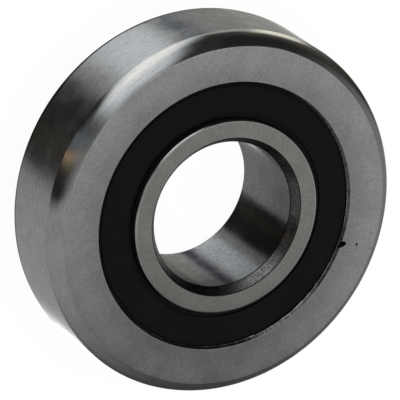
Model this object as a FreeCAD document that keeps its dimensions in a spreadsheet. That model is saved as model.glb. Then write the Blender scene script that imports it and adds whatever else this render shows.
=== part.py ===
"""Forklift mast roller: a sealed double-row ball bearing whose thick outer ring rolls in a mast rail.

The axis is +Z. The roller stands on the rear face of its inner ring, with the origin at the centre of
that face. Each piece is drawn about the bearing's middle plane, or a cage about the centres of its balls,
and is then set in place. Lengths are millimetres.
"""

import FreeCAD
import Part
import Sketcher

import enum
import math
import os

# Driving sizes, each set by itself.
SIZES = {
    # Inner ring
    "bore_diameter": 50.0,
    "bore_chamfer_radial": 2.2,
    "bore_chamfer_axial": 3.2,
    "inner_wall": 7.373,
    "inner_edge_chamfer": 0.45,
    "inner_overhang": 1.0,
    # Outer ring
    "tread_diameter": 125.0,
    "front_corner_axial": 5.8,
    "front_corner_radial": 4.3,
    "front_corner_radius": 9.0,
    "rear_corner_axial": 8.6,
    "rear_corner_radial": 7.4,
    "rear_corner_radius": 16.0,
    # Balls and raceways
    "ball_diameter": 13.494,
    "balls_per_row": 10,
    "row_gap": 0.712,
    "ball_clearance": 0.08,
    "groove_conformity": 0.52,
    "shoulder_height": 2.5,
    # Seals and their seats
    "seal_recess": 1.0,
    "seal_thickness": 2.2,
    "seal_edge_chamfer": 0.25,
    "seal_clearance": 0.05,
    "seal_rim_gap": 0.65,
    "seal_groove_depth": 1.4,
    "retaining_lip_rise": 1.8,
    "retaining_lip_chamfer": 0.9,
    "bead_setback": 0.6,
    "seal_land_drop": 1.5,
    "wiper_clearance": 0.08,
    "wiper_length": 1.85,
    "wiper_setback": 0.9,
    "wiper_tip": 0.4,
    # Cages
    "cage_wall": 4.0,
    "cage_web": 1.2,
    "cage_end_gap": 0.6,
    "cage_bridge": 5.5,
    "pocket_clearance": 0.15,
    "horn_reach": 2.4,
    "horn_thickness": 2.0,
    "slot_corner": 1.2,
}

# Radii from the axis, and heights above the middle plane, that follow from the driving sizes.
LAYOUT = {
    "middle": "0",
    "ball_radius": "Sizes.ball_diameter / 2",
    "bore_radius": "Sizes.bore_diameter / 2",
    "inner_groove_floor": "bore_radius + Sizes.inner_wall",
    "pitch_radius": "inner_groove_floor + Sizes.ball_clearance + ball_radius",
    "groove_radius": "Sizes.groove_conformity * Sizes.ball_diameter",
    # Cage, with heights above the centres of its balls
    "pocket_radius": "ball_radius + Sizes.pocket_clearance",
    "cage_end": "pocket_radius + Sizes.cage_web",
    "cage_mouth": "-Sizes.horn_reach",
    "cage_slot_floor": "cage_end - Sizes.cage_bridge",
    "cage_inner_radius": "pitch_radius - Sizes.cage_wall / 2",
    "cage_outer_radius": "pitch_radius + Sizes.cage_wall / 2",
    "slot_mouth": "cage_mouth - Sizes.slot_corner",
    "slot_corner_height": "cage_slot_floor - Sizes.slot_corner",
    "slot_left": "pitch_radius * sin(180 / Sizes.balls_per_row) - pocket_radius - Sizes.horn_thickness",
    "slot_right": "-slot_left",
    "slot_floor_left": "slot_left - Sizes.slot_corner",
    "slot_floor_right": "-slot_floor_left",
    # Faces, stacked outwards from the middle plane
    "row_height": "(Sizes.ball_diameter + Sizes.row_gap) / 2",
    "cage_end_height": "row_height + cage_end",
    "seal_back_height": "cage_end_height + Sizes.cage_end_gap",
    "seal_front_height": "seal_back_height + Sizes.seal_thickness",
    "outer_half_width": "seal_front_height + Sizes.seal_recess",
    "inner_half_width": "outer_half_width + Sizes.inner_overhang",
    # Inner ring
    "bore_mouth_radius": "bore_radius + Sizes.bore_chamfer_radial",
    "bore_end_height": "inner_half_width - Sizes.bore_chamfer_axial",
    "inner_groove_centre": "inner_groove_floor + groove_radius",
    "inner_shoulder_radius": "inner_groove_floor + Sizes.shoulder_height",
    "seal_land_radius": "inner_shoulder_radius - Sizes.seal_land_drop",
    "inner_face_radius": "seal_land_radius - Sizes.inner_edge_chamfer",
    "inner_edge_height": "inner_half_width - Sizes.inner_edge_chamfer",
    # Outer ring
    "outer_groove_floor": "pitch_radius + ball_radius + Sizes.ball_clearance",
    "outer_groove_centre": "outer_groove_floor - groove_radius",
    "outer_shoulder_radius": "outer_groove_floor - Sizes.shoulder_height",
    "tread_radius": "Sizes.tread_diameter / 2",
    "front_tread_end": "outer_half_width - Sizes.front_corner_axial",
    "front_face_radius": "tread_radius - Sizes.front_corner_radial",
    "rear_tread_end": "Sizes.rear_corner_axial - outer_half_width",
    "rear_face_radius": "tread_radius - Sizes.rear_corner_radial",
    "rear_face_height": "-outer_half_width",
    "retaining_lip_radius": "outer_shoulder_radius + Sizes.retaining_lip_rise",
    "retaining_lip_height": "outer_half_width - Sizes.retaining_lip_chamfer",
    "rear_lip_height": "-retaining_lip_height",
    "recess_edge_radius": "retaining_lip_radius + Sizes.retaining_lip_chamfer",
    "seal_groove_radius": "retaining_lip_radius + Sizes.seal_groove_depth",
    "seal_groove_floor": "seal_back_height - Sizes.seal_clearance",
    "rear_groove_floor": "-seal_groove_floor",
    # Seal
    "bead_radius": "seal_groove_radius - Sizes.seal_clearance",
    "bead_height": "seal_front_height - Sizes.bead_setback",
    "seal_groove_top": "bead_height + Sizes.seal_clearance",
    "rear_groove_top": "-seal_groove_top",
    "seal_rim_radius": "retaining_lip_radius - Sizes.seal_rim_gap",
    "seal_flat_radius": "seal_rim_radius - Sizes.seal_edge_chamfer",
    "seal_edge_height": "seal_front_height - Sizes.seal_edge_chamfer",
    "wiper_radius": "seal_land_radius + Sizes.wiper_clearance",
    "wiper_root_radius": "wiper_radius + Sizes.wiper_length",
    "wiper_root_height": "seal_front_height - Sizes.wiper_setback",
    "wiper_tip_height": "(wiper_root_height + seal_back_height + Sizes.wiper_tip) / 2",
    "wiper_tip_foot": "wiper_tip_height - Sizes.wiper_tip",
}

PARTS_FOLDER = "parts"
FULL_TURN = 360.0
HALF_PITCH = FULL_TURN / SIZES["balls_per_row"] / 2
UP = FreeCAD.Vector(0, 0, 1)


class Side(enum.IntEnum):
    """The side of the middle plane that a piece lies on."""

    FRONT = 1
    REAR = -1


class EdgePoint(enum.IntEnum):
    """The points of a sketch's edge, as constraints number them."""

    START = 1
    END = 2
    CENTRE = 3


SKETCH_ORIGIN = (-1, EdgePoint.START.value)

document = FreeCAD.newDocument("mast_roller")


def fill_sheet(name, cells):
    """Makes a sheet with one value a row, whose cell takes the value's name as its alias."""
    sheet = document.addObject("Spreadsheet::Sheet", name)
    for row, (alias, content) in enumerate(cells.items(), start=1):
        sheet.set(f"A{row}", alias)
        sheet.set(f"B{row}", str(content))
        sheet.setAlias(f"B{row}", alias)
    document.recompute()
    return sheet


sizes = fill_sheet("Sizes", SIZES)
layout = fill_sheet("Layout", {alias: f"={formula}" for alias, formula in LAYOUT.items()})


def placed(alias):
    """The number in a cell of the layout."""
    return float(getattr(layout, alias))


def origin_feature(body, role):
    """One of a body's own origin planes or axes."""
    return next(feature for feature in body.Origin.OriginFeatures if feature.Role == role)


def new_body(label):
    """An empty body, named for its piece."""
    body = document.addObject("PartDesign::Body", label)
    body.Label = label
    return body


def new_sketch(body, name, plane="XZ_Plane"):
    """A sketch on one of the body's origin planes. On XZ_Plane its X is the radius and its Y the height."""
    sketch = body.newObject("Sketcher::SketchObject", name)
    sketch.AttachmentSupport = [(origin_feature(body, plane), "")]
    sketch.MapMode = "FlatFace"
    return sketch


def bind(sketch, constraint, expression):
    """Adds a constraint whose value is read from the sheets."""
    index = sketch.addConstraint(constraint)
    sketch.setExpression(f"Constraints[{index}]", expression)


def bind_point(sketch, edge, point, corner):
    """Holds a point of an edge at the X and Y that the layout names."""
    for direction, alias in zip(("DistanceX", "DistanceY"), corner):
        distance = Sketcher.Constraint(direction, *SKETCH_ORIGIN, edge, point.value, placed(alias))
        bind(sketch, distance, f"Layout.{alias}")


def arc_between(start, end, radius):
    """The short arc that turns anticlockwise from start to end."""
    chord = end - start
    inwards = FreeCAD.Vector(-chord.y, chord.x, 0).normalize()
    centre = (start + end) * 0.5 + inwards * math.sqrt(radius**2 - (chord.Length / 2) ** 2)
    angles = [math.atan2(point.y - centre.y, point.x - centre.x) for point in (start, end)]
    return Part.ArcOfCircle(Part.Circle(centre, UP, radius), *angles)


def draw_outline(sketch, corners, arcs=None):
    """Draws a closed outline, anticlockwise, through corners that the layout names.

    arcs holds the size that is an edge's radius, by the number of the corner that the edge starts from.
    """
    arcs = arcs or {}
    points = [FreeCAD.Vector(placed(x), placed(y), 0) for x, y in corners]
    edges = []
    for number, start in enumerate(points):
        end = points[(number + 1) % len(points)]
        if number in arcs:
            curve = arc_between(start, end, SIZES[arcs[number]])
        else:
            curve = Part.LineSegment(start, end)
        edges.append(sketch.addGeometry(curve, False))
    for number, edge in enumerate(edges):
        joint = (edges[number - 1], EdgePoint.END.value, edge, EdgePoint.START.value)
        sketch.addConstraint(Sketcher.Constraint("Coincident", *joint))
    for number, edge in enumerate(edges):
        bind_point(sketch, edge, EdgePoint.START, corners[number])
        if number in arcs:
            bind(sketch, Sketcher.Constraint("Radius", edge, SIZES[arcs[number]]), f"Sizes.{arcs[number]}")


def draw_circle(sketch, centre, radius_alias):
    """Draws a circle about a point that the layout names."""
    middle = FreeCAD.Vector(placed(centre[0]), placed(centre[1]), 0)
    edge = sketch.addGeometry(Part.Circle(middle, UP, placed(radius_alias)), False)
    bind_point(sketch, edge, EdgePoint.CENTRE, centre)
    bind(sketch, Sketcher.Constraint("Radius", edge, placed(radius_alias)), f"Layout.{radius_alias}")


def turn(body, kind, name, sketch):
    """Turns a sketch right round the axis, as a Revolution that adds or a Groove that cuts."""
    feature = body.newObject(f"PartDesign::{kind}", name)
    feature.Profile = sketch
    feature.ReferenceAxis = (sketch, ["V_Axis"])
    feature.Angle = FULL_TURN
    document.recompute()
    return feature


def turn_raceway(body, name, centre_alias):
    """Cuts the ball groove of the front row."""
    sketch = new_sketch(body, f"{name}_outline")
    draw_circle(sketch, (centre_alias, "row_height"), "groove_radius")
    return turn(body, "Groove", name, sketch)


def mirror_to_rear(body, features):
    """Repeats features of a ring's front half in its rear half, as their mirror image."""
    mirrored = body.newObject("PartDesign::Mirrored", f"{body.Name}_rear_half")
    mirrored.Originals = features
    mirrored.MirrorPlane = (origin_feature(body, "XY_Plane"), [""])
    body.Tip = mirrored
    document.recompute()


def set_in_place(piece, side=Side.FRONT, height="0", turned=0.0):
    """Stands a piece on the axis, its own origin at a height to the front or the rear of the middle plane.

    A piece at the rear is turned over, and turned then turns it about the axis, in degrees.
    """
    overturn = FreeCAD.Rotation(FreeCAD.Vector(1, 0, 0), 0 if side == Side.FRONT else FULL_TURN / 2)
    piece.Placement = FreeCAD.Placement(FreeCAD.Vector(), FreeCAD.Rotation(UP, turned).multiply(overturn))
    piece.setExpression("Placement.Base.z", f"Layout.inner_half_width + {side.value} * {height}")


def make_outer_ring():
    """The thick ring: ground tread, turned corners, two raceways, and a groove and lip for each seal."""
    body = new_body("outer_ring")
    section = new_sketch(body, "outer_section")
    draw_outline(
        section,
        [
            ("outer_shoulder_radius", "rear_groove_floor"),
            ("seal_groove_radius", "rear_groove_floor"),
            ("seal_groove_radius", "rear_groove_top"),
            ("retaining_lip_radius", "rear_groove_top"),
            ("retaining_lip_radius", "rear_lip_height"),
            ("recess_edge_radius", "rear_face_height"),
            ("rear_face_radius", "rear_face_height"),
            ("tread_radius", "rear_tread_end"),
            ("tread_radius", "front_tread_end"),
            ("front_face_radius", "outer_half_width"),
            ("recess_edge_radius", "outer_half_width"),
            ("retaining_lip_radius", "retaining_lip_height"),
            ("retaining_lip_radius", "seal_groove_top"),
            ("seal_groove_radius", "seal_groove_top"),
            ("seal_groove_radius", "seal_groove_floor"),
            ("outer_shoulder_radius", "seal_groove_floor"),
        ],
        arcs={6: "rear_corner_radius", 8: "front_corner_radius"},
    )
    turn(body, "Revolution", "outer_turning", section)
    groove = turn_raceway(body, "outer_raceway", "outer_groove_centre")
    mirror_to_rear(body, [groove])
    set_in_place(body)
    return body


def make_inner_ring():
    """The ring on the stub shaft: chamfered bore, two raceways, and a land for each seal's wiper."""
    body = new_body("inner_ring")
    section = new_sketch(body, "inner_section")
    draw_outline(
        section,
        [
            ("bore_radius", "middle"),
            ("inner_shoulder_radius", "middle"),
            ("inner_shoulder_radius", "cage_end_height"),
            ("seal_land_radius", "cage_end_height"),
            ("seal_land_radius", "inner_edge_height"),
            ("inner_face_radius", "inner_half_width"),
            ("bore_mouth_radius", "inner_half_width"),
            ("bore_radius", "bore_end_height"),
        ],
    )
    turning = turn(body, "Revolution", "inner_turning", section)
    groove = turn_raceway(body, "inner_raceway", "inner_groove_centre")
    mirror_to_rear(body, [turning, groove])
    set_in_place(body)
    return body


def make_seal(label, side):
    """A moulded rubber seal: a bead in the outer ring's groove, a flat wall, a wiper on the inner ring."""
    body = new_body(label)
    section = new_sketch(body, f"{label}_section")
    draw_outline(
        section,
        [
            ("wiper_radius", "wiper_tip_foot"),
            ("wiper_root_radius", "seal_back_height"),
            ("bead_radius", "seal_back_height"),
            ("bead_radius", "bead_height"),
            ("seal_rim_radius", "bead_height"),
            ("seal_rim_radius", "seal_edge_height"),
            ("seal_flat_radius", "seal_front_height"),
            ("wiper_root_radius", "seal_front_height"),
            ("wiper_root_radius", "wiper_root_height"),
            ("wiper_radius", "wiper_tip_height"),
        ],
    )
    turn(body, "Revolution", f"{label}_moulding", section)
    set_in_place(body, side)
    return body


def make_cage(label, side, turned):
    """A moulded snap cage: a ring with a round pocket for each ball, and slots that part its horns."""
    body = new_body(label)
    section = new_sketch(body, f"{label}_section")
    draw_outline(
        section,
        [
            ("cage_inner_radius", "cage_mouth"),
            ("cage_outer_radius", "cage_mouth"),
            ("cage_outer_radius", "cage_end"),
            ("cage_inner_radius", "cage_end"),
        ],
    )
    turn(body, "Revolution", f"{label}_moulding", section)

    pocket = body.newObject("PartDesign::SubtractiveSphere", f"{label}_pocket")
    pocket.setExpression("Radius", "Layout.pocket_radius")
    pocket.setExpression("Placement.Base.x", "Layout.pitch_radius")
    document.recompute()

    slot_outline = new_sketch(body, f"{label}_slot_outline", "YZ_Plane")
    between_pockets = FreeCAD.Rotation(FreeCAD.Vector(0, 1, 0), HALF_PITCH)
    slot_outline.AttachmentOffset = FreeCAD.Placement(FreeCAD.Vector(), between_pockets)
    slot_outline.setExpression("AttachmentOffset.Rotation.Angle", "180 / Sizes.balls_per_row")
    draw_outline(
        slot_outline,
        [
            ("slot_right", "slot_mouth"),
            ("slot_left", "slot_mouth"),
            ("slot_left", "slot_corner_height"),
            ("slot_floor_left", "cage_slot_floor"),
            ("slot_floor_right", "cage_slot_floor"),
            ("slot_right", "slot_corner_height"),
        ],
        arcs={2: "slot_corner", 4: "slot_corner"},
    )
    slot = body.newObject("PartDesign::Pocket", f"{label}_slot")
    slot.Profile = slot_outline
    slot.Type = "ThroughAll"
    slot.Reversed = True
    document.recompute()

    pitches = body.newObject("PartDesign::PolarPattern", f"{label}_pitches")
    pitches.Originals = [pocket, slot]
    pitches.Axis = (origin_feature(body, "Z_Axis"), [""])
    pitches.Angle = FULL_TURN
    pitches.setExpression("Occurrences", "Sizes.balls_per_row")
    body.Tip = pitches
    set_in_place(body, side, "Layout.row_height", turned)
    return body


def make_ball(label, side, turned):
    """A ball of one row, at its angle about the axis."""
    ball = document.addObject("Part::Sphere", label)
    ball.Label = label
    ball.setExpression("Radius", "Layout.ball_radius")
    ball.setExpression("Placement.Base.x", f"Layout.pitch_radius * cos({turned})")
    ball.setExpression("Placement.Base.y", f"Layout.pitch_radius * sin({turned})")
    ball.setExpression("Placement.Base.z", f"Layout.inner_half_width + {side.value} * Layout.row_height")
    return ball


def make_row(name, side, turned):
    """One row of balls and its cage, turned about the axis by the given angle."""
    count = SIZES["balls_per_row"]
    row = [make_cage(f"{name}_cage", side, turned)]
    for number in range(count):
        row.append(make_ball(f"{name}_ball_{number + 1:02d}", side, turned + number * FULL_TURN / count))
    return row


def write_pieces(pieces):
    """Writes one STEP file for each piece, once every object and shape is sound."""
    document.recompute()
    for item in document.Objects:
        if "Invalid" in item.State or "Error" in item.State:
            raise RuntimeError(f"{item.Label} did not compute: {item.State}")
    for piece in pieces:
        if piece.Shape.isNull() or not piece.Shape.isValid() or len(piece.Shape.Solids) != 1:
            raise RuntimeError(f"{piece.Label} is not one valid solid")
    os.makedirs(PARTS_FOLDER, exist_ok=True)
    for piece in pieces:
        piece.Shape.exportStep(os.path.join(PARTS_FOLDER, f"{piece.Label}.step"))
        print(f"{piece.Label}: {piece.Shape.Volume:.1f} mm3")


write_pieces(
    [make_outer_ring(), make_inner_ring()]
    + [make_seal("front_seal", Side.FRONT), make_seal("rear_seal", Side.REAR)]
    + make_row("front", Side.FRONT, 0.0)
    + make_row("rear", Side.REAR, HALF_PITCH)
)
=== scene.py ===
"""A forklift mast roller, dressed for a studio picture.

A thick outer ring runs on two rows of balls about an inner ring, and a rubber seal closes each side.
The rings, the seals and two specks of rubber are modelled here in metres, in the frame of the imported
part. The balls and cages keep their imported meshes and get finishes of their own.
"""

import logging
import math
from collections.abc import Callable
from dataclasses import dataclass, replace
from enum import Enum
from typing import ClassVar

import bpy
from mathutils import Matrix, Vector

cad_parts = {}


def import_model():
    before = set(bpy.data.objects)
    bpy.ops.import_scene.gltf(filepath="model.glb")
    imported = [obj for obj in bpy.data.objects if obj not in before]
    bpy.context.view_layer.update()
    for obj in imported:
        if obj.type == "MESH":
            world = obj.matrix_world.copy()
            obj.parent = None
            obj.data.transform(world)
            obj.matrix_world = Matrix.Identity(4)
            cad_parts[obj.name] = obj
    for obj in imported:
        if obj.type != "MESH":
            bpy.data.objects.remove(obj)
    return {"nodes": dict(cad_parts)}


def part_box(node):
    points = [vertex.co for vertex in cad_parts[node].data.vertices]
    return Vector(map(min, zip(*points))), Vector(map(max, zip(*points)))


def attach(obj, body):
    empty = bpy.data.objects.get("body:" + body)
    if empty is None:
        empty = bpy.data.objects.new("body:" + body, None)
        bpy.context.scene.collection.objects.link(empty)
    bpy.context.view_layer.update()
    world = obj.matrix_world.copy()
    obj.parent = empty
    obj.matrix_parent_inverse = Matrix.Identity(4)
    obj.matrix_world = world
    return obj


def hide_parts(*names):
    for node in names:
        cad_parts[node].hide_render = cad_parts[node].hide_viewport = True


LOG = logging.getLogger("mast_roller")
MM = 0.001
# A face this near to a level lies on it, and two points this near along a seam are one.
NEAR = 0.02 * MM
SEAM = MM / 1000
Colour = tuple[float, float, float]
Point = tuple[float, float]
Socket = bpy.types.NodeSocket
Finishes = list[tuple[bpy.types.Material, Callable[[float, float], bool]]]


class Side(Enum):
    """The two ends of the roller along its axle."""

    FRONT = 1.0
    REAR = -1.0


class Lay(Enum):
    """The way the marks of a tool run over a turned surface."""

    ROUND = "round"
    ACROSS = "across"


def deselect_all() -> None:
    """Leaves nothing selected, so that the next operator acts on its own piece alone."""
    bpy.ops.object.select_all(action="DESELECT")


def select_only(*pieces: bpy.types.Object) -> None:
    """Selects some pieces and nothing else, and makes the first of them the active one.

    Args:
        *pieces: The pieces to select.
    """
    deselect_all()
    for piece in pieces:
        piece.select_set(True)
    bpy.context.view_layer.objects.active = pieces[0]


def apply_modifier(piece: bpy.types.Object, kind: str, **settings: object) -> None:
    """Adds one modifier to a piece and applies it.

    Args:
        piece: The object to change, which becomes the active one.
        kind: Blender's name of the modifier's type.
        **settings: Values for the modifier's properties.
    """
    select_only(piece)
    modifier = piece.modifiers.new(kind.lower(), kind)
    for name, value in settings.items():
        setattr(modifier, name, value)
    bpy.ops.object.modifier_apply(modifier=modifier.name)


def start_point(name: str, place: tuple[float, float, float]) -> bpy.types.Object:
    """Makes a piece of one point and opens it for drawing.

    Args:
        name: The piece's name.
        place: The point's place.

    Returns:
        The piece, in edit mode with its point selected.
    """
    deselect_all()
    bpy.ops.mesh.primitive_plane_add(size=MM, location=place)
    bpy.ops.object.transform_apply(location=True)
    piece = bpy.context.active_object
    piece.name = piece.data.name = name
    bpy.ops.object.mode_set(mode="EDIT")
    bpy.ops.mesh.select_all(action="SELECT")
    bpy.ops.mesh.merge(type="CENTER")
    return piece


def weld(reach: float) -> None:
    """Merges the points of the open piece that lie within a reach of each other."""
    bpy.ops.mesh.select_all(action="SELECT")
    bpy.ops.mesh.remove_doubles(threshold=reach)


def close_shell() -> None:
    """Turns all faces of the open piece outwards and leaves edit mode."""
    bpy.ops.mesh.select_all(action="SELECT")
    bpy.ops.mesh.normals_make_consistent(inside=False)
    bpy.ops.object.mode_set(mode="OBJECT")


class Graph:
    """The nodes of one material or world, added and linked a node at a time."""

    def __init__(self, tree: bpy.types.NodeTree) -> None:
        """Starts from an empty tree."""
        self.tree = tree
        self.tree.nodes.clear()

    def feed(self, socket: Socket, value: object) -> None:
        """Links an output to a node's input, or sets the input to a plain value.

        Args:
            socket: The input.
            value: The output or the plain value.
        """
        if isinstance(value, Socket):
            self.tree.links.new(value, socket)
        else:
            socket.default_value = value

    def fill(self, node: bpy.types.Node, inputs: dict) -> None:
        """Feeds a node's inputs, each named or numbered, with plain values or outputs."""
        for key, value in inputs.items():
            self.feed(node.inputs[key], value)

    def add(self, kind: str, inputs: dict | None = None, **settings: object) -> bpy.types.Node:
        """Adds a node.

        Args:
            kind: The node's type, without the leading ShaderNode.
            inputs: For each input, by name or number, a plain value or the output to link to it.
            **settings: Values for the node's own properties.

        Returns:
            The new node.
        """
        node = self.tree.nodes.new("ShaderNode" + kind)
        for name, value in settings.items():
            setattr(node, name, value)
        self.fill(node, inputs or {})
        return node

    def math(self, operation: str, *values: object) -> Socket:
        """Gives the output of a Math node whose inputs are numbers or outputs."""
        return self.add("Math", dict(enumerate(values)), operation=operation).outputs[0]

    def ramp(self, value: Socket, start: float, end: float, low: float, high: float) -> Socket:
        """Eases from the low level to the high one as a value goes from the start to the end."""
        levels = {"Value": value, "From Min": start, "From Max": end, "To Min": low, "To Max": high}
        return self.add("MapRange", levels, interpolation_type="SMOOTHSTEP").outputs["Result"]

    def noise(self, place: Socket, size: float, detail: float, rough: float = 0.5) -> Socket:
        """Gives noise from 0 to 1, in blotches of a size with finer layers in them."""
        inputs = {"Vector": place, "Scale": 1.0 / size, "Detail": detail, "Roughness": rough}
        return self.add("TexNoise", inputs).outputs["Fac"]

    def scaled(self, vector: Socket, factor: object) -> Socket:
        """Multiplies a vector or a colour by a number or an output."""
        return self.add("VectorMath", {0: vector, "Scale": factor}, operation="SCALE").outputs[0]

    def blend(self, factor: object, first: object, second: object) -> Socket:
        """Mixes two colours.

        Args:
            factor: The share of the second colour, as a number or an output.
            first: A colour or an output.
            second: A colour or an output.

        Returns:
            The mixed colour.
        """
        node = self.add("Mix", data_type="RGBA")
        inputs = {socket.identifier: socket for socket in node.inputs}
        self.feed(inputs["Factor_Float"], factor)
        for key, colour in (("A_Color", first), ("B_Color", second)):
            self.feed(inputs[key], colour if isinstance(colour, Socket) else (*colour, 1.0))
        return next(socket for socket in node.outputs if socket.identifier == "Result_Color")

    def object_place(self) -> Socket:
        """Gives the place on the piece, in metres."""
        return self.add("TexCoord").outputs["Object"]


def new_material(name: str) -> tuple[bpy.types.Material, Graph, bpy.types.Node]:
    """Makes an empty material.

    Args:
        name: The material's name.

    Returns:
        The material, its graph, and its shader, already joined to the output.
    """
    material = bpy.data.materials.new(name)
    material.use_nodes = True
    graph = Graph(material.node_tree)
    shader = graph.add("BsdfPrincipled")
    graph.add("OutputMaterial", {"Surface": shader.outputs["BSDF"]})
    return material, graph, shader


def shaded(colour: Colour, share: float) -> Colour:
    """Darkens or lightens a colour by one factor."""
    return tuple(channel * share for channel in colour)


class TurnedSurface:
    """Where a point of a turned piece lies, as outputs that its finish reads.

    Attributes:
        graph: The graph of the piece's material.
        place: The place on the piece, in metres.
        around: The direction about the axle, one unit long.
        radius: The distance from the axle, in metres.
        height: The height along the axle, in metres.
    """

    MIDDLING = 50 * MM

    def __init__(self, graph: Graph) -> None:
        """Adds the nodes that split the place.

        Args:
            graph: The graph of the piece's material.
        """
        self.graph = graph
        self.place = graph.object_place()
        parts = graph.add("SeparateXYZ", {0: self.place}).outputs
        flat = graph.add("CombineXYZ", {"X": parts["X"], "Y": parts["Y"]}).outputs[0]
        self.around = graph.add("VectorMath", {0: flat}, operation="NORMALIZE").outputs["Vector"]
        self.radius = graph.add("VectorMath", {0: flat}, operation="LENGTH").outputs["Value"]
        self.height = parts["Z"]

    def streaks(self, around_size: float, run_size: float) -> Socket:
        """Gives noise that is stretched round the axle or over the section.

        Args:
            around_size: The length of a streak round the piece, in metres at a middling radius.
            run_size: Its length over the section, in metres.

        Returns:
            The noise, from 0 to 1.
        """
        graph = self.graph
        run = graph.math("SUBTRACT", self.height, self.radius)
        turned = graph.scaled(self.around, self.MIDDLING / around_size)
        rise = graph.add("CombineXYZ", {"Z": graph.math("DIVIDE", run, run_size)}).outputs[0]
        stretched = graph.add("VectorMath", {0: turned, 1: rise}).outputs[0]
        return graph.noise(stretched, 1.0, detail=2.0)


@dataclass(frozen=True)
class SteelFinish:
    """Machined bearing steel: its tone, its polish and the marks that the tool left.

    Attributes:
        name: The material's name.
        colour: The tone of the clean metal.
        roughness: The middle of its polish.
        smudge: How far handling makes the polish uneven, up and down.
        tone_spread: The share by which the tone varies.
        lay: The way the tool marks run.
        mark_width: The width of a tool mark, in metres.
        mark_length: The length of a tool mark, in metres.
        mark_depth: The depth of a tool mark, in metres.
        ripple_depth: The depth of the slow ripples left round the piece, in metres.
        edge_share: The share of the reflection at a grazing view that the surface keeps.
        scuffing: The share by which sparse scuffs across a flat face darken it.
        painted_rim_gain: The share by which a flat face is painted lighter from its inner edge to its
            rim: painted light.
        face_span: The radii between which that rise runs, in metres.
        painted_depth_gain: The share by which the bore is painted darker at its front and lighter at
            its rear: painted light.
        bore_span: The heights between which that rise runs, in metres.
        painted_side_gain: How much lighter one side of the bore's rear half is painted, as a painted
            reflection.
        painted_side_bearing: The bearing of the middle of that side, in degrees from +X.
        painted_side_reach: How far it reaches to each side of its middle, in degrees.
    """

    # Sizes of the noises: one size, or one round the piece and one over the section.
    BLOTCH: ClassVar[float] = 9 * MM
    GRAIN: ClassVar[float] = 0.6 * MM
    RIPPLE: ClassVar[Point] = (4 * MM, 25 * MM)
    FLECK: ClassVar[Point] = (0.7 * MM, 3.2 * MM)
    # Shares of the noises in the tone, and the levels of noise between which each effect sets in.
    MOTTLE_SHARE: ClassVar[float] = 0.3
    MARK_SHARE: ClassVar[float] = 0.4
    TONE_LEVELS: ClassVar[Point] = (0.35, 0.65)
    POLISH_LEVELS: ClassVar[Point] = (0.3, 0.7)
    FLECK_LEVELS: ClassVar[Point] = (0.3, 0.42)
    SCUFF_LEVELS: ClassVar[Point] = (0.45, 0.6)

    name: str
    colour: Colour
    roughness: float
    smudge: float = 0.03
    tone_spread: float = 0.14
    lay: Lay = Lay.ROUND
    mark_width: float = 0.5 * MM
    mark_length: float = 5 * MM
    mark_depth: float = 0.003 * MM
    ripple_depth: float = 0.0
    edge_share: float = 1.0
    scuffing: float = 0.0
    # Painted light on a flat face: lighter towards its rim.
    painted_rim_gain: float = 0.0
    face_span: Point = (46 * MM, 55.5 * MM)
    # Painted light in a bore: darker at its front, lighter at its rear and along one side of its rear.
    painted_depth_gain: float = 0.0
    bore_span: Point = (2 * MM, 38 * MM)
    painted_side_gain: float = 0.0
    painted_side_bearing: float = 33.0
    painted_side_reach: float = 15.0

    def build(self) -> bpy.types.Material:
        """Makes the material.

        Returns:
            The finished material.
        """
        material, graph, shader = new_material(self.name)
        surface = TurnedSurface(graph)
        marks = self.tool_marks(surface)
        blotches = graph.noise(surface.place, self.BLOTCH, detail=4.0, rough=0.6)
        grain = graph.noise(surface.place, self.GRAIN, detail=2.0)
        mottle = graph.math("MULTIPLY", grain, self.MOTTLE_SHARE)
        mottle = graph.math("MULTIPLY_ADD", blotches, self.MOTTLE_SHARE, mottle)
        tone = graph.math("MULTIPLY_ADD", marks, self.MARK_SHARE, mottle)
        dark = shaded(self.colour, 1 - self.tone_spread)
        light = shaded(self.colour, 1 + self.tone_spread)
        colour = graph.blend(graph.ramp(tone, *self.TONE_LEVELS, 0.0, 1.0), dark, light)
        # Real scuffs, and painted light that makes a flat face lighter towards its rim.
        if self.scuffing:
            colour = self.worn(surface, colour, blotches)
        # Paints light into a bore: darker at its front, lighter at its rear and on one side.
        if self.painted_depth_gain:
            colour = self.paint_bore_light(surface, colour)
        bump = graph.add("Bump", {"Height": marks, "Distance": self.mark_depth})
        if self.ripple_depth:
            ripples = {"Height": surface.streaks(*self.RIPPLE), "Distance": self.ripple_depth}
            bump = graph.add("Bump", ripples | {"Normal": bump.outputs["Normal"]})
        shiniest, dullest = self.roughness - self.smudge, self.roughness + self.smudge
        results = {
            "Metallic": 1.0,
            "Specular Tint": (*[self.edge_share] * 3, 1.0),
            "Base Color": colour,
            "Roughness": graph.ramp(blotches, *self.POLISH_LEVELS, shiniest, dullest),
            "Normal": bump.outputs["Normal"],
        }
        graph.fill(shader, results)
        return material

    def tool_marks(self, surface: TurnedSurface) -> Socket:
        """Gives the noise of the tool marks, which run along the lay."""
        sizes = (self.mark_length, self.mark_width)
        return surface.streaks(*(sizes if self.lay is Lay.ROUND else sizes[::-1]))

    def worn(self, surface: TurnedSurface, colour: Socket, blotches: Socket) -> Socket:
        """Scuffs a flat face here and there, and paints light onto it, lighter towards its rim.

        Args:
            surface: The surface of the piece.
            colour: The clean face's colour.
            blotches: The noise that says where the scuffs lie.

        Returns:
            The scuffed colour, with the painted light.
        """
        graph = surface.graph
        scuffs = graph.ramp(surface.streaks(*self.FLECK), *self.FLECK_LEVELS, self.scuffing, 0.0)
        scuffs = graph.math("MULTIPLY", scuffs, graph.ramp(blotches, *self.SCUFF_LEVELS, 0.0, 1.0))
        # Painted light: the face is lighter towards its rim.
        gain = graph.ramp(surface.radius, *self.face_span, 1 - self.painted_rim_gain, 1 + self.painted_rim_gain)
        return graph.scaled(colour, graph.math("SUBTRACT", gain, scuffs))

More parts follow.
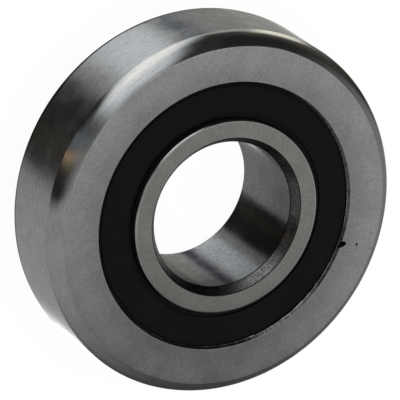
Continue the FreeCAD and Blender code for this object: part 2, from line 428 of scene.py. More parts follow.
    def paint_bore_light(self, surface: TurnedSurface, colour: Socket) -> Socket:
        """Paints light into a bore: lighter towards its rear, and lighter still on one side of its
        rear half.

        Args:
            surface: The surface of the piece.
            colour: The clean bore's colour.

        Returns:
            The colour with the painted light.
        """
        graph = surface.graph
        # A painted reflection along one side of the bore's rear half.
        bearing = math.radians(self.painted_side_bearing)
        middle = (math.cos(bearing), math.sin(bearing), 0.0)
        facing = graph.add("VectorMath", {0: surface.around, 1: middle}, operation="DOT_PRODUCT")
        limit = math.cos(math.radians(self.painted_side_reach))
        rub = graph.ramp(facing.outputs["Value"], limit, 1.0, 0.0, self.painted_side_gain)
        low, high = self.bore_span
        rear = graph.ramp(surface.height, (low + high) / 2, high, 1.0, 0.0)
        rub = graph.math("MULTIPLY", rub, rear)
        # Painted shade at the bore's front and painted light at its rear.
        gain = graph.ramp(surface.height, low, high, 1 + self.painted_depth_gain, 1 - self.painted_depth_gain)
        return graph.scaled(colour, graph.math("MULTIPLY_ADD", gain, rub, gain))


@dataclass(frozen=True)
class MouldedFinish:
    """A moulded rubber or plastic: its tone, its dullness and its fine skin.

    Attributes:
        name: The material's name.
        colour: The tone of the clean surface.
        dust: The tone of the thin dust on it.
        roughness: The middle of its dullness.
        gloss: The strength of its highlights.
        pore: The width of a pore of the skin, in metres.
        pore_depth: The depth of a pore, in metres.
    """

    # The size of a cloud of dust, its greatest share, and how far the dullness falls and rises.
    CLOUD: ClassVar[float] = 14 * MM
    DUST_SHARE: ClassVar[float] = 0.6
    DUST_LEVELS: ClassVar[Point] = (0.4, 0.75)
    DULL_FALL: ClassVar[float] = 0.05
    DULL_RISE: ClassVar[float] = 0.08
    DULL_LEVELS: ClassVar[Point] = (0.3, 0.7)

    name: str
    colour: Colour
    dust: Colour
    roughness: float
    gloss: float
    pore: float
    pore_depth: float = 0.01 * MM

    def build(self) -> bpy.types.Material:
        """Makes the material.

        Returns:
            The finished material.
        """
        material, graph, shader = new_material(self.name)
        place = graph.object_place()
        cloud = graph.noise(place, self.CLOUD, detail=4.0, rough=0.6)
        dust = graph.ramp(cloud, *self.DUST_LEVELS, 0.0, self.DUST_SHARE)
        shiniest, dullest = self.roughness - self.DULL_FALL, self.roughness + self.DULL_RISE
        pores = graph.noise(place, self.pore, detail=3.0)
        skin = {"Height": pores, "Distance": self.pore_depth}
        results = {
            "Specular IOR Level": self.gloss,
            "Base Color": graph.blend(dust, self.colour, self.dust),
            "Roughness": graph.ramp(cloud, *self.DULL_LEVELS, shiniest, dullest),
            "Normal": graph.add("Bump", skin).outputs["Normal"],
        }
        graph.fill(shader, results)
        return material


STEEL = (0.42, 0.42, 0.415)
FACE_STEEL = (0.402, 0.401, 0.391)
BORE_STEEL = (0.23, 0.23, 0.23)
BARE_STEEL = (0.13, 0.13, 0.128)
RING_STEEL = (0.331, 0.331, 0.314)
# The front face's steel: real scuffs, and painted light that makes it lighter towards its rim.
GROUND_FACE = SteelFinish(
    "ground_face", FACE_STEEL, 0.32, tone_spread=0.16, lay=Lay.ACROSS,
    mark_length=1.4 * MM, mark_depth=0.002 * MM, scuffing=0.16, painted_rim_gain=0.11,
)
RING_FACE = replace(GROUND_FACE, name="ring_face", colour=RING_STEEL, scuffing=0.08, painted_rim_gain=0.0)
GROUND_TREAD = SteelFinish(
    "ground_tread", STEEL, 0.24, smudge=0.04, tone_spread=0.2,
    mark_length=2 * MM, ripple_depth=0.012 * MM,
)
TURNED_CORNER = SteelFinish("turned_corner", STEEL, 0.14, ripple_depth=0.006 * MM, edge_share=0.65)
REAR_CORNER = SteelFinish("rear_corner", STEEL, 0.12, edge_share=0.4)
# The bore's steel, painted lighter towards its rear and on one side there: painted light.
GROUND_BORE = SteelFinish(
    "ground_bore", BORE_STEEL, 0.18, smudge=0.04, tone_spread=0.28, mark_width=0.6 * MM,
    mark_length=1.5 * MM, ripple_depth=0.008 * MM, edge_share=0.7, painted_depth_gain=0.27, painted_side_gain=1.1,
)
DARK_TURNED = SteelFinish(
    "dark_turned", BARE_STEEL, 0.3, smudge=0.06, tone_spread=0.5,
    mark_width=0.4 * MM, mark_length=1.5 * MM, mark_depth=0.014 * MM,
)
NICKED_EDGE = SteelFinish(
    "nicked_edge", (0.105, 0.104, 0.1), 0.22, smudge=0.06, tone_spread=0.6,
    mark_width=0.3 * MM, mark_length=0.9 * MM, mark_depth=0.04 * MM,
)
# Steel much lighter than the ring's own on the lip's rounded edge: a painted highlight along it. Its
# low roughness and deep nicks are real.
PAINTED_HIGHLIGHT_EDGE = SteelFinish(
    "painted_highlight_edge", (0.72, 0.72, 0.7), 0.22, smudge=0.06, tone_spread=0.35,
    mark_width=0.4 * MM, mark_length=1.1 * MM, mark_depth=0.03 * MM,
)
# Nearly black steel on the broken edges of the bore's chamfer: painted shade, a dark line along each
# edge.
PAINTED_SHADE_EDGE = SteelFinish(
    "painted_shade_edge", (0.03, 0.03, 0.03), 0.4, smudge=0.05, tone_spread=0.3,
    mark_width=0.4 * MM, mark_length=2 * MM, mark_depth=0.01 * MM, edge_share=0.2,
)
LAPPED_RACE = SteelFinish(
    "lapped_race", (0.5, 0.5, 0.49), 0.12, smudge=0.02, tone_spread=0.05,
    mark_width=0.3 * MM, mark_length=6 * MM, mark_depth=0.0005 * MM,
)
POLISHED_BALL = SteelFinish(
    "polished_ball", (0.6, 0.6, 0.6), 0.08, smudge=0.02, tone_spread=0.03,
    mark_width=0.4 * MM, mark_length=3 * MM, mark_depth=0.0003 * MM,
)
SEAL_RUBBER = MouldedFinish(
    "seal_rubber", (0.0046, 0.005, 0.0053), (0.0068, 0.0068, 0.0067),
    roughness=0.6, gloss=0.05, pore=0.35 * MM,
)
GREASY_RUBBER = MouldedFinish(
    "greasy_rubber", (0.0012, 0.0012, 0.0012), (0.002, 0.002, 0.002),
    roughness=0.7, gloss=0.02, pore=0.3 * MM,
)
CAGE_PLASTIC = MouldedFinish(
    "cage_plastic", (0.33, 0.27, 0.17), (0.4, 0.34, 0.22), roughness=0.5, gloss=0.4, pore=0.5 * MM
)


class Turning:
    """A lathe: draws half a section with edit-mode operators and turns it about the axle.
    """

    STEPS = 288
    MERGE = 1e-7
    BREAK_STEPS = 2
    SHARP_ANGLE = math.radians(12)
    SMOOTH_ANGLE = math.radians(50)
    NORMAL_WEIGHT = 50

    def __init__(self, name: str, start: Point, side: Side = Side.FRONT) -> None:
        """Sets the first point of the section.

        Args:
            name: The piece's name.
            start: The point's radius and height.
            side: The side of the middle plane to draw on, with heights counted towards it.
        """
        self.way = side.value
        self.radius, self.height = start[0], self.way * start[1]
        self.piece = start_point(name, (self.radius, 0, self.height))

    def lines(self, *points: Point) -> None:
        """Draws straight lines from the last point.

        Args:
            *points: The radius and height of each next point.
        """
        for radius, height in points:
            step = (radius - self.radius, 0, self.way * height - self.height)
            bpy.ops.mesh.extrude_region_move(TRANSFORM_OT_translate={"value": step})
            self.radius, self.height = radius, self.way * height

    def arc(self, end: Point, centre: Point, steps: int) -> None:
        """Draws an arc from the last point.

        Args:
            end: The radius and height of the arc's end.
            centre: The radius and height of its centre.
            steps: The number of straight steps along it.
        """
        end, centre = (end[0], self.way * end[1]), (centre[0], self.way * centre[1])
        start_angle = math.atan2(self.height - centre[1], self.radius - centre[0])
        end_angle = math.atan2(end[1] - centre[1], end[0] - centre[0])
        sweep = math.remainder(end_angle - start_angle, math.tau)
        bpy.ops.mesh.spin(steps=steps, angle=sweep, center=(centre[0], 0, centre[1]), axis=(0, 1, 0))
        self.radius, self.height = end

    def turn(self) -> None:
        """Turns the section into a ring, with its faces outwards."""
        weld(self.MERGE)
        bpy.ops.mesh.spin(steps=self.STEPS, angle=math.tau, center=(0, 0, 0), axis=(0, 0, 1))
        weld(self.MERGE)
        close_shell()

    def mirror(self) -> None:
        """Adds the other half of the ring, below the middle plane."""
        apply_modifier(self.piece, "MIRROR", use_axis=(False, False, True), merge_threshold=SEAM)

    def join(self, other: "Turning") -> None:
        """Takes in another half and closes the two into one ring.

        Args:
            other: The half on the other side of the middle plane, which is used up.
        """
        select_only(self.piece, other.piece)
        bpy.ops.object.join()
        bpy.ops.object.mode_set(mode="EDIT")
        weld(SEAM)
        close_shell()

    def paint(self, finishes: Finishes) -> None:
        """Gives each face the first finish whose test it meets.

        Args:
            finishes: Materials, each with a test of a face's distance from the axle and its height.
        """
        mesh = self.piece.data
        for material, _ in finishes:
            mesh.materials.append(material)
        tests = [test for _, test in finishes]
        places = [(p.center.xy.length, p.center.z) for p in mesh.polygons]
        chosen = [next(i for i, test in enumerate(tests) if test(*place)) for place in places]
        mesh.polygons.foreach_set("material_index", chosen)

    def finish(self, edge_break: float, finishes: Finishes, middle: float) -> bpy.types.Object:
        """Breaks the sharp edges, paints the faces and sets the piece at its place on the axle.

        Args:
            edge_break: The width of the broken edges.
            finishes: The finishes to paint with.
            middle: The height of the middle plane in the part's frame.

        Returns:
            The finished piece, with its flat faces shaded flat.
        """
        edges = {"limit_method": "ANGLE", "angle_limit": self.SHARP_ANGLE}
        apply_modifier(self.piece, "BEVEL", width=edge_break, segments=self.BREAK_STEPS, **edges)
        bpy.ops.object.shade_smooth_by_angle(angle=self.SMOOTH_ANGLE)
        self.paint(finishes)
        apply_modifier(self.piece, "WEIGHTED_NORMAL", keep_sharp=True, weight=self.NORMAL_WEIGHT)
        select_only(self.piece)
        self.piece.location.z = middle
        bpy.ops.object.transform_apply(location=True)
        return self.piece


def everywhere(radius: float, height: float) -> bool:
    """Says yes to every face."""
    return True


@dataclass(frozen=True)
class Corner:
    """A rounded corner between the tread and a flat face.

    Attributes:
        tread_end: The height at which the tread ends, counted from the middle plane.
        face_radius: The radius at which the corner meets the face.
        radius: The radius of the corner's arc.
        worn: How far wear has blunted the edge beside the tread, along the axle to each side.
        steps: The number of straight steps along the arc.
    """

    tread_end: float
    face_radius: float
    radius: float
    worn: float = 0.0
    steps: int = 14

    def centre(self, tread_radius: float, face_height: float) -> Point:
        """Finds the centre of the corner's arc.

        Args:
            tread_radius: The radius of the tread.
            face_height: The height of the face.

        Returns:
            The radius and height of the centre.
        """
        rise, run = face_height - self.tread_end, tread_radius - self.face_radius
        half_chord = math.hypot(rise, run) / 2
        depth = math.sqrt(self.radius**2 - half_chord**2) / (2 * half_chord)
        middle = ((tread_radius + self.face_radius) / 2, (face_height + self.tread_end) / 2)
        return middle[0] - rise * depth, middle[1] - run * depth

    def arc_end(self, centre: Point) -> Point:
        """Finds where the arc about a centre meets the blunted edge beside the tread."""
        height = self.tread_end + self.worn
        return centre[0] + math.sqrt(self.radius**2 - (height - centre[1]) ** 2), height


@dataclass(frozen=True)
class Raceway:
    """The two grooves that the balls run in, one each side of the middle plane.

    Attributes:
        outer_centre: The distance from the axle to the outer groove's centre.
        inner_centre: The distance from the axle to the inner groove's centre.
        height: The height of both centres.
        radius: The grooves' own radius.
        outer_shoulder: The radius of the outer ring beside its grooves.
        inner_shoulder: The radius of the inner ring beside its grooves.
        steps: The number of straight steps along a groove.
    """

    outer_centre: float = 39.010 * MM
    inner_centre: float = 39.390 * MM
    height: float = 7.103 * MM
    radius: float = 7.017 * MM
    outer_shoulder: float = 43.527 * MM
    inner_shoulder: float = 34.873 * MM
    steps: int = 16

    def half_width(self) -> float:
        """Gives half the width of a groove where it meets its shoulder."""
        return math.sqrt(self.radius**2 - (self.outer_shoulder - self.outer_centre) ** 2)


@dataclass
class OuterRing:
    """The thick ring that rolls in the mast.

    Attributes:
        tread_radius: The radius of the tread.
        half_width: Half the width of the ring.
        middle: The height of the middle plane in the part's frame.
        raceway: The ball grooves.
        front: The corner at the front.
        rear: The larger corner at the rear.
        recess_radius: The radius of the seal's recess at the face.
        lip_radius: The radius of the lip that keeps the seal in.
        lip_top: The height at which the lip's chamfer ends.
        lip_round: The size of the worn edge between the lip and its chamfer.
        groove_radius: The radius of the seal's groove.
        groove_top: The height of the groove's upper wall.
        groove_floor: The height of the groove's lower wall.
        edge_break: The width of the broken edges.
    """

    tread_radius: float
    half_width: float
    middle: float
    raceway: Raceway
    front: Corner = Corner(13.2 * MM, 58.2 * MM, 9 * MM)
    rear: Corner = Corner(10.4 * MM, 55.1 * MM, 16 * MM, worn=0.75 * MM)
    recess_radius: float = 46.227 * MM
    lip_radius: float = 45.327 * MM
    lip_top: float = 18.1 * MM
    lip_round: float = 0.14 * MM
    groove_radius: float = 46.727 * MM
    groove_top: float = 17.45 * MM
    groove_floor: float = 15.75 * MM
    edge_break: float = 0.16 * MM

    def build(self) -> bpy.types.Object:
        """Turns the ring and dresses it.

        Returns:
            The ring, riding on its body.
        """
        lathe = self.turn_half(Side.FRONT, self.front)
        lathe.join(self.turn_half(Side.REAR, self.rear))
        piece = lathe.finish(self.edge_break, self.finishes(), self.middle)
        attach(piece, "outer")
        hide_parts("outer_ring")
        return piece

    def turn_half(self, side: Side, corner: Corner) -> Turning:
        """Turns one half of the ring, open at the middle plane.

        Args:
            side: The half to turn.
            corner: The corner of that half.

        Returns:
            The lathe that holds the half.
        """
        race, half = self.raceway, self.raceway.half_width()
        lathe = Turning("outer_ring_turned", (race.outer_shoulder, 0), side)
        lathe.lines((race.outer_shoulder, race.height - half))
        groove_end = (race.outer_shoulder, race.height + half)
        lathe.arc(groove_end, (race.outer_centre, race.height), race.steps)
        lathe.lines(
            (race.outer_shoulder, self.groove_floor),
            (self.groove_radius, self.groove_floor),
            (self.groove_radius, self.groove_top),
            (self.lip_radius, self.groove_top),
            (self.lip_radius, self.lip_top - self.lip_round),
            (self.lip_radius + self.lip_round, self.lip_top + self.lip_round),
            (self.recess_radius, self.half_width),
            (corner.face_radius, self.half_width),
        )
        centre = corner.centre(self.tread_radius, self.half_width)
        lathe.arc(corner.arc_end(centre), centre, corner.steps)
        lathe.lines((self.tread_radius, corner.tread_end - corner.worn), (self.tread_radius, 0))
        lathe.turn()
        return lathe

    def finishes(self) -> Finishes:
        """Lists the ring's finishes.

        Returns:
            The materials, each with the test that picks its faces.
        """
        race_reach = self.raceway.height + self.raceway.half_width()
        corner_foot = self.rear.face_radius - NEAR
        lip_reach = 1.2 * self.lip_round
        return [
            (GROUND_TREAD.build(), lambda r, h: r > self.tread_radius - NEAR),
            (GROUND_FACE.build(), lambda r, h: abs(h) > self.half_width - NEAR),
            (TURNED_CORNER.build(), lambda r, h: r > corner_foot and h > 0),
            (REAR_CORNER.build(), lambda r, h: r > corner_foot),
            (LAPPED_RACE.build(), lambda r, h: abs(h) < race_reach),
            # A painted highlight on the lip's rounded edge.
            (PAINTED_HIGHLIGHT_EDGE.build(), lambda r, h: abs(abs(h) - self.lip_top) < lip_reach),
            (NICKED_EDGE.build(), everywhere),
        ]


@dataclass
class InnerRing:
    """The ring that sits on the axle.

    Attributes:
        half_width: Half the width of the ring.
        middle: The height of the middle plane in the part's frame.
        raceway: The ball grooves.
        bore_radius: The radius of the bore.
        bore_top: The height at which the bore's chamfer begins.
        chamfer_radius: The radius at which the chamfer meets the face.
        land_radius: The radius that the seals wipe.
        edge_chamfer: The chamfer between the face and that radius.
        land_floor: The height of the step down to the shoulder.
        edge_break: The width of the broken edges.
    """

    half_width: float
    middle: float
    raceway: Raceway
    bore_radius: float = 25 * MM
    bore_top: float = 16.8 * MM
    chamfer_radius: float = 27.2 * MM
    land_radius: float = 33.373 * MM
    edge_chamfer: float = 0.45 * MM
    land_floor: float = 15.2 * MM
    edge_break: float = 0.22 * MM

    def build(self) -> bpy.types.Object:
        """Turns the ring and dresses it.

        Returns:
            The ring, riding on its body.
        """
        race, half = self.raceway, self.raceway.half_width()
        lathe = Turning("inner_ring_turned", (self.bore_radius, 0))
        lathe.lines(
            (self.bore_radius, self.bore_top),
            (self.chamfer_radius, self.half_width),
            (self.land_radius - self.edge_chamfer, self.half_width),
            (self.land_radius, self.half_width - self.edge_chamfer),
            (self.land_radius, self.land_floor),
            (race.inner_shoulder, self.land_floor),
            (race.inner_shoulder, race.height + half),
        )
        groove_end = (race.inner_shoulder, race.height - half)
        lathe.arc(groove_end, (race.inner_centre, race.height), race.steps)
        lathe.lines((race.inner_shoulder, 0))
        lathe.turn()
        lathe.mirror()
        piece = lathe.finish(self.edge_break, self.finishes(), self.middle)
        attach(piece, "inner")
        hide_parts("inner_ring")
        return piece

    def finishes(self) -> Finishes:
        """Lists the ring's finishes.

        Returns:
            The materials, each with the test that picks its faces.
        """
        race_reach = self.raceway.height + self.raceway.half_width()
        return [
            # Painted shade on the broken edges of the bore's chamfer.
            (PAINTED_SHADE_EDGE.build(), self.on_bore_edge),
            (GROUND_BORE.build(), lambda r, h: r < self.bore_radius + NEAR),
            (RING_FACE.build(), lambda r, h: abs(h) > self.half_width - NEAR),
            (DARK_TURNED.build(), lambda r, h: r < self.chamfer_radius),
            (LAPPED_RACE.build(), lambda r, h: abs(h) < race_reach or r > self.land_radius - NEAR),
            (TURNED_CORNER.build(), everywhere),
        ]

    def on_bore_edge(self, radius: float, height: float) -> bool:
        """Tells the broken edges of the bore's chamfer from the faces beside them.

        Args:
            radius: The face's distance from the axle.
            height: The face's height.

        Returns:
            True for a face of a broken edge.
        """
        level, reach = 0.003 * MM, 0.75 * self.edge_break
        at_bore = level < radius - self.bore_radius < reach
        at_rim = abs(radius - self.chamfer_radius) < reach
        below_face = level < self.half_width - abs(height) < reach
        return at_bore or (at_rim and below_face)


@dataclass
class Seal:
    """A moulded rubber seal, snapped into the outer ring and wiping the inner one.

    Attributes:
        side: The end of the roller that it closes.
        middle: The height of the middle plane in the part's frame.
        face_height: The height of its flat face.
        back_height: The height of its inner side.
        wiper_radius: The radius of the wiping lip's tip.
        wiper_low: The height of the tip's lower edge.
        wiper_high: The height of the tip's upper edge.
        root_radius: The radius of the lip's root.
        root_height: The height of the lip's root at its front.
        edge_radius: The radius of the visible edge.
        edge_chamfer: The chamfer on that edge.
        bead_radius: The radius of the bead in the outer ring's groove.
        bead_height: The height of the bead's front.
        edge_break: The width of the broken edges.
    """

    side: Side
    middle: float
    face_height: float = 18.0 * MM
    back_height: float = 15.8 * MM
    wiper_radius: float = 33.453 * MM
    wiper_low: float = 16.25 * MM
    wiper_high: float = 16.65 * MM
    root_radius: float = 35.303 * MM
    root_height: float = 17.1 * MM
    edge_radius: float = 44.677 * MM
    edge_chamfer: float = 0.25 * MM
    bead_radius: float = 46.677 * MM
    bead_height: float = 17.4 * MM
    edge_break: float = 0.12 * MM

    def build(self, rubber: bpy.types.Material) -> bpy.types.Object:
        """Turns the seal and dresses it.

        Args:
            rubber: The seal's finish.

        Returns:
            The seal, riding on the outer ring's body.
        """
        end = self.side.name.lower()
        start = (self.wiper_radius, self.wiper_low)
        lathe = Turning(f"{end}_seal_moulded", start, self.side)
        lathe.lines(
            (self.wiper_radius, self.wiper_high),
            (self.root_radius, self.root_height),
            (self.root_radius, self.face_height),
            (self.edge_radius - self.edge_chamfer, self.face_height),
            (self.edge_radius, self.face_height - self.edge_chamfer),
            (self.edge_radius, self.bead_height),
            (self.bead_radius, self.bead_height),
            (self.bead_radius, self.back_height),
            (self.root_radius, self.back_height),
            start,
        )
        lathe.turn()
        piece = lathe.finish(self.edge_break, [(rubber, everywhere)], self.middle)
        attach(piece, "outer")
        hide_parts(f"{end}_seal")
        return piece


@dataclass(frozen=True)
class Speck:
    """A scrap of rubber left on the front face.

    Attributes:
        name: The piece's name.
        outline: The corners of its foot, in millimetres in the part's frame.
        height: How far it stands up, in metres.
    """

    # The top's share of the foot, the reach within which corners are one, and the rounding's levels.
    TAPER: ClassVar[float] = 0.75
    MERGE: ClassVar[float] = 0.01 * MM
    ROUNDING: ClassVar[int] = 2

    name: str
    outline: tuple[tuple[float, float, float], ...]
    height: float

    def build(self, rubber: bpy.types.Material) -> bpy.types.Object:
        """Draws the foot, raises it and rounds it.

        Args:
            rubber: The scrap's finish.

        Returns:
            The scrap, riding on the outer ring's body.
        """
        corners = [Vector(corner) * MM for corner in self.outline]
        piece = start_point(self.name, corners[0])
        for last, corner in zip(corners, corners[1:] + corners[:1]):
            bpy.ops.mesh.extrude_region_move(TRANSFORM_OT_translate={"value": corner - last})
        weld(self.MERGE)
        bpy.ops.mesh.edge_face_add()
        bpy.ops.mesh.extrude_region_move(TRANSFORM_OT_translate={"value": (0, 0, self.height)})
        bpy.ops.transform.resize(value=(self.TAPER, self.TAPER, 1))
        close_shell()
        apply_modifier(piece, "SUBSURF", levels=self.ROUNDING)
        bpy.ops.object.shade_smooth()
        piece.data.materials.append(rubber)
        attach(piece, "outer")
        return piece


CRUMB = Speck(
    "crumb",
    (
        (-14.75, 43.05, 38.2), (-16.35, 43.72, 38.9), (-15.95, 45.75, 38.9), (-14.55, 45.45, 38.9),
        (-13.4, 44.55, 38.85), (-11.9, 43.95, 38.2), (-12.9, 43.3, 38.05), (-13.85, 43.45, 38.3),
    ),
    0.7 * MM,
)
DOT = Speck(
    "dot",
    (
        (-17.45, 49.39, 38.95), (-16.91, 49.55, 38.95), (-16.68, 49.15, 38.95), (-16.99, 48.59, 38.95),
        (-17.53, 48.43, 38.95), (-17.76, 48.83, 38.95),
    ),
    0.35 * MM,
)


@dataclass(frozen=True)
class Panel:
    """One soft-edged patch of the studio that the steel mirrors.

    Attributes:
        tone: Its colour and brightness, where 1 is white.
        middle: Its azimuth, in degrees from the camera's side, turning from -Y to +X.
        half_width: Half its width, in degrees.
        softness: The width of its soft sides, in degrees.
        low: The elevation of its lower edge, in degrees.
        high: The elevation of its upper edge, in degrees.
        fade: The height of its soft lower and upper edges, in degrees.
        lean: How far its middle moves for each degree of elevation.
    """

    # Without edges of its own, a panel reaches all round and past both poles.
    tone: Colour
    middle: float = 0.0
    half_width: float = 200.0
    softness: float = 6.0
    low: float = -120.0
    high: float = 120.0
    fade: float = 8.0
    lean: float = 0.0


@dataclass
class Studio:
    """The plain room round the roller: panels, lamps, floor, backdrop and camera.

    Attributes:
        wall: The tone of the room where no panel is.
        panels: The patches of the room, each laid over those before it.
        floor_share: The share of the floor's tone that shadows can take away.
        floor_reach: Half the size of the floor and the radius of the backdrop, in metres.
        dim_bearing: The bearing of the side on which the flat faces are dimmer, in degrees from +X.
        softbox_edge: How far the softbox reaches past the face's middle towards that side.
        softbox_shift: How far the softbox stands off that line, towards the picture's left.
        softbox_size: The length of the softbox's side.
        softbox_distance: The softbox's distance from the front face.
        softbox_power: The softbox's power, in watts.
        overhead_height: The overhead lamp's height above the front face.
        overhead_size: The length of the overhead lamp's side.
        overhead_power: The overhead lamp's power, in watts.
        tilt: The angle between the axle and the line of sight, in degrees.
        roll: The angle of the axle in the picture, in degrees below level.
        focal: The camera's focal length, in millimetres.
        distance: The distance to the middle of the front face, in metres.
        offset: How far that middle stands right of and below the picture's middle, in metres.
    """

    wall: Colour = (0.47, 0.47, 0.465)
    # Each panel's tone, azimuth, half width and softness, then its heights where it has edges there.
    panels: tuple[Panel, ...] = (
        Panel((0.55, 0.55, 0.545), 180, 60, 60, low=-50),
        Panel((0.11, 0.11, 0.11), 148, 38, 70, low=-52, fade=6),
        Panel((0.34, 0.34, 0.335), 118, 30, 40, low=26, fade=24),
        Panel((0.03, 0.031, 0.031), -73, 68, 74, low=-30, high=54, fade=20),
        Panel((0.06, 0.055, 0.048), -116, 12, 16, low=-48, high=4, fade=16, lean=0.75),
        Panel((0.13, 0.12, 0.105), -98, 22, 30, low=-52, high=-8, fade=22, lean=0.3),
        Panel((0.75, 0.73, 0.66), -86, 22, 24, low=-52, high=-26, fade=10, lean=0.3),
        Panel((1.9, 1.85, 1.62), -88, 10, 10, low=-50, high=-24, fade=16, lean=0.65),
        Panel((0.335, 0.33, 0.315), -130, 28, 14, high=-52, fade=6),
        Panel((0.09, 0.105, 0.135), -86.5, 8.5, 10, high=-46),
        Panel((0.03, 0.03, 0.029), 11.5, 31.5, 10, high=40, fade=70, lean=-0.05),
        Panel((0.051, 0.047, 0.038), 24, 6, 8, high=-45),
        Panel((0.11, 0.115, 0.12), 2, 8, 6, low=-14, high=60, fade=30),
        Panel((0.19, 0.21, 0.23), 11.5, 4.5, 5, low=-30, high=60, fade=30),
        Panel((0.21, 0.18, 0.11), 22.5, 2.0, 2.5, low=-40, high=30, fade=16),
        Panel((0.36, 0.33, 0.28), 18.8, 3.0, 3.0, low=8, high=48, fade=24, lean=-0.03),
        Panel((0.5, 0.35, 0.23), 18.8, 2.2, 2.0, low=-40, high=16, fade=20, lean=-0.03),
        Panel((1.0, 1.05, 1.1), -53, 19.5, 13, high=-42, fade=12),
        Panel((1.1, 1.15, 1.2), -32.5, 23.5, 16, low=-38, high=8, fade=24, lean=0.42),
        Panel((1.08, 1.13, 1.18), -32, 23, 18, low=0, high=54, fade=34),
        Panel((1.75, 1.75, 1.7), -34, 15, 20, low=-44, high=14, fade=40, lean=0.42),
        Panel((0.02, 0.02, 0.02), high=-68, fade=6),
        Panel((0.45, 0.45, 0.445), 115, 50, 20, low=-75, high=-60, fade=5),
        Panel((3.0, 3.0, 3.0), 170, 16, 30, low=-59.5, high=-54.5, fade=2),
        Panel((0.11, 0.11, 0.11), 180, 50, 40, low=44),
    )
    floor_share: float = 0.035
    floor_reach: float = 5.0
    dim_bearing: float = 34.0
    softbox_edge: float = 41 * MM
    softbox_shift: float = 45 * MM
    softbox_size: float = 0.36
    softbox_distance: float = 0.2
    softbox_power: float = 0.146
    overhead_height: float = 1.0
    overhead_size: float = 0.6
    overhead_power: float = 7.0
    tilt: float = 33.073
    roll: float = 34.889
    focal: float = 720.0
    distance: float = 2621.8 * MM
    offset: Point = (8.325 * MM, 5.344 * MM)

    def build(self, target: Vector) -> None:
        """Sets up the whole studio.

        Args:
            target: The middle of the roller's front face.
        """
        bpy.context.scene.view_settings.view_transform = "Standard"
        self.light_world()
        self.hang_lamps(target)
        self.lay_floor()
        self.set_camera(target)

    def light_world(self) -> None:
        """Paints the room's panels over its wall."""
        world = bpy.data.worlds.new("studio")
        world.use_nodes = True
        bpy.context.scene.world = world
        graph = Graph(world.node_tree)
        parts = graph.add("SeparateXYZ", {0: graph.add("TexCoord").outputs["Generated"]}).outputs
        to_degrees = math.degrees(1.0)
        bearing = graph.math("ARCTAN2", parts["X"], graph.math("MULTIPLY", parts["Y"], -1.0))
        azimuth = graph.math("MULTIPLY", bearing, to_degrees)
        elevation = graph.math("MULTIPLY", graph.math("ARCSINE", parts["Z"]), to_degrees)
        tone = self.wall
        for panel in self.panels:
            middle = graph.math("MULTIPLY_ADD", elevation, panel.lean, panel.middle)
            away = graph.math("WRAP", graph.math("SUBTRACT", azimuth, middle), 180.0, -180.0)
            half, soft, fade = panel.half_width, panel.softness / 2, panel.fade / 2
            across = graph.ramp(graph.math("ABSOLUTE", away), half - soft, half + soft, 1.0, 0.0)
            above = graph.ramp(elevation, panel.low - fade, panel.low + fade, 0.0, 1.0)
            below = graph.ramp(elevation, panel.high - fade, panel.high + fade, 1.0, 0.0)
            share = graph.math("MULTIPLY", across, graph.math("MULTIPLY", above, below))
            tone = graph.blend(share, tone, panel.tone)
        background = graph.add("Background", {"Color": tone})
        graph.add("OutputWorld", {"Surface": background.outputs[0]})

    def hang_lamps(self, target: Vector) -> None:
        """Hangs the softbox that the flat faces mirror and the soft lamp overhead.

        The softbox stands close, with one edge in the mirror image of the face's dimmer side.

        Args:
            target: The point that both lamps face.
        """
        tilt, bearing = math.radians(self.tilt), math.radians(self.dim_bearing)
        mirrored = Vector((0, math.sin(tilt), math.cos(tilt)))
        dim_side = Vector((math.cos(bearing), math.sin(bearing), 0))
        dim_side = (dim_side - dim_side.dot(mirrored) * mirrored).normalized()
        sideways = mirrored.cross(dim_side)
        slide = self.softbox_edge - self.softbox_size / 2
        place = target + self.softbox_distance * mirrored
        place += slide * dim_side - self.softbox_shift * sideways
        axes = Matrix((dim_side, sideways, mirrored)).transposed()
        self.hang_lamp("face_softbox", place, axes, self.softbox_size, self.softbox_power)
        above = target + Vector((0, 0, self.overhead_height))
        level = Matrix.Identity(3)
        lamp = self.hang_lamp("overhead", above, level, self.overhead_size, self.overhead_power)
        lamp.visible_glossy = False

    def hang_lamp(
        self, name: str, place: Vector, axes: Matrix, size: float, power: float
    ) -> bpy.types.Object:
        """Hangs one square soft lamp.

        Args:
            name: The lamp's name.
            place: The lamp's middle.
            axes: The lamp's own axes, of which the third points away from what it lights.
            size: The length of its side, in metres.
            power: Its power, in watts.

        Returns:
            The lamp, hidden from the camera.
        """
        lamp = bpy.data.lights.new(name, "AREA")
        lamp.size = size
        lamp.energy = power
        holder = bpy.data.objects.new(name, lamp)
        holder.matrix_world = Matrix.Translation(place) @ axes.to_4x4()
        holder.visible_camera = False
        bpy.context.scene.collection.objects.link(holder)
        return holder

    def lay_floor(self) -> None:
        """Lays the pale floor and sets the white backdrop round it."""
        deselect_all()
        bpy.ops.mesh.primitive_plane_add(size=2 * self.floor_reach)
        self.dress_stage("floor", self.floor_share)
        deselect_all()
        bpy.ops.mesh.primitive_uv_sphere_add(radius=self.floor_reach)
        self.dress_stage("backdrop", 0.0)

    def dress_stage(self, name: str, share: float) -> None:
        """Makes the active piece of the stage white, and keeps it out of the steel's mirror image.

        Args:
            name: The piece's name.
            share: The share of its tone that shadows can take away.
        """
        piece = bpy.context.active_object
        piece.name = name
        material = bpy.data.materials.new(name)
        material.use_nodes = True
        graph = Graph(material.node_tree)
        white = (1, 1, 1, 1)
        glow = graph.add("Emission", {"Color": white, "Strength": 1.0})
        matt = graph.add("BsdfDiffuse", {"Color": white})
        surface = graph.add("MixShader", {0: share, 1: glow.outputs[0], 2: matt.outputs[0]})
        graph.add("OutputMaterial", {"Surface": surface.outputs[0]})
        piece.data.materials.append(material)
        for ray in ("diffuse", "glossy", "transmission", "volume_scatter", "shadow"):
            setattr(piece, f"visible_{ray}", False)

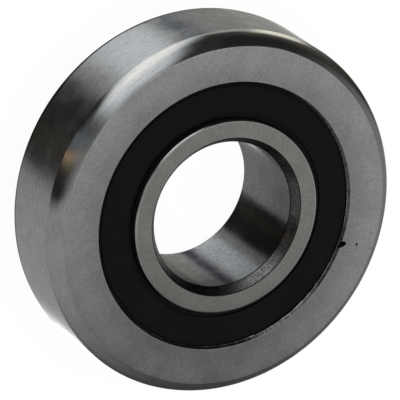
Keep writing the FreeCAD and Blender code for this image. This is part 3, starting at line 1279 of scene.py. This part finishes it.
    def set_camera(self, target: Vector) -> None:
        """Sets the camera, rolled so that the axle leans in the picture.

        Args:
            target: The middle of the roller's front face.
        """
        tilt, roll = math.radians(self.tilt), math.radians(self.roll)
        back = Vector((0, -math.sin(tilt), math.cos(tilt)))
        rise = (Vector((0, 0, 1)) - back.z * back).normalized()
        side = back.cross(rise)
        right = math.cos(roll) * rise + math.sin(roll) * side
        up = math.cos(roll) * side - math.sin(roll) * rise
        place = target - self.offset[0] * right + self.offset[1] * up + self.distance * back
        data = bpy.data.cameras.new("camera")
        data.lens = self.focal
        camera = bpy.data.objects.new("camera", data)
        turn = Matrix((right, up, back)).transposed().to_4x4()
        camera.matrix_world = Matrix.Translation(place) @ turn
        bpy.context.scene.collection.objects.link(camera)
        bpy.context.scene.camera = camera


def dress_packed_nodes(nodes: dict[str, bpy.types.Object]) -> None:
    """Gives the balls and cages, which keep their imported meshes, their finishes.

    Args:
        nodes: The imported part's nodes by name.
    """
    ball, cage = POLISHED_BALL.build(), CAGE_PLASTIC.build()
    for name, node in nodes.items():
        if "_ball_" in name:
            node.material_slots[0].material = ball
        elif name.endswith("_cage"):
            node.material_slots[0].material = cage


def main() -> None:
    """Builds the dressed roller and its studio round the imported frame."""
    logging.basicConfig(level=logging.INFO, format="%(name)s: %(message)s")
    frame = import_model()
    deselect_all()
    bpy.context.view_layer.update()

    outer_low, outer_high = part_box("outer_ring")
    inner_low, inner_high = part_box("inner_ring")
    middle = (outer_low.z + outer_high.z) / 2
    raceway = Raceway()
    rubber, scrap = SEAL_RUBBER.build(), GREASY_RUBBER.build()
    pieces = [
        OuterRing(outer_high.x, outer_high.z - middle, middle, raceway).build(),
        InnerRing(inner_high.z - middle, middle, raceway).build(),
        *[Seal(side, middle).build(rubber) for side in Side],
        *[speck.build(scrap) for speck in (CRUMB, DOT)],
    ]
    for piece in pieces:
        LOG.info("%s: %d faces", piece.name, len(piece.data.polygons))
    dress_packed_nodes(frame["nodes"])
    Studio().build(Vector((0, 0, outer_high.z)))


if __name__ == "__main__":
    main()
